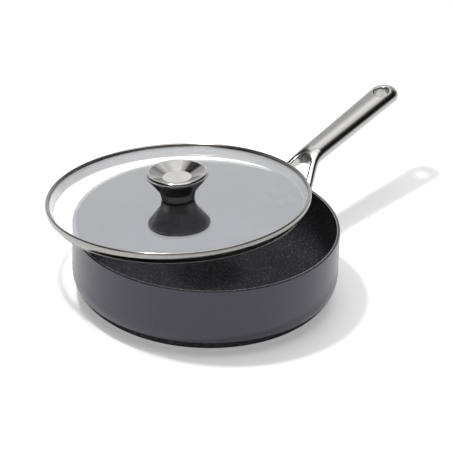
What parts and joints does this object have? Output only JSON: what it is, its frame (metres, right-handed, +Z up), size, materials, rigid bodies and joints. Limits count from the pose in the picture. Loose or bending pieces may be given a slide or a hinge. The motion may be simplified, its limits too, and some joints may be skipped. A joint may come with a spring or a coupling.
{
  "type": "saute pan with a lid",
  "caption": "Round straight-sided pan with a forked metal handle that has a hanging hole, and a flat glass lid with a steel band, a skirt that drops inside the rim and a flared knob",
  "frame": {"origin": "the middle of the pan's flat base, on the surface that it stands on", "axes": "+Z up, +X along the handle, +Y to the left of the handle"},
  "size_m": [0.4431, 0.2997, 0.1186],
  "materials": {
    "hard_anodised_aluminium": "satin dark grey hard anodising outside, speckled black non-stick coating inside",
    "brushed_stainless_steel": "fine satin brushing along the handle",
    "polished_stainless_steel": "bright polish with a faint turned grain",
    "plain_stainless_steel": "bright drawn",
    "clear_glass": "clear tempered glass",
    "black_silicone": "matt black"
  },
  "bodies": {
    "pan": {"pan_body": "hard_anodised_aluminium", "handle": "brushed_stainless_steel", "rivets": "plain_stainless_steel"},
    "lid": {"lid_glass": "clear_glass", "lid_band": "polished_stainless_steel", "knob_dish": "polished_stainless_steel", "knob_stem": "polished_stainless_steel", "knob_boss": "plain_stainless_steel", "knob_seal": "black_silicone", "under_seal": "black_silicone", "screw_washer": "plain_stainless_steel", "knob_screw": "plain_stainless_steel"}
  },
  "joints": [
    {"name": "lid_lift", "type": "slide", "parent": "pan", "child": "lid", "axis": [0, 0, 1], "range_m": [0, 0.12]}
  ]
}
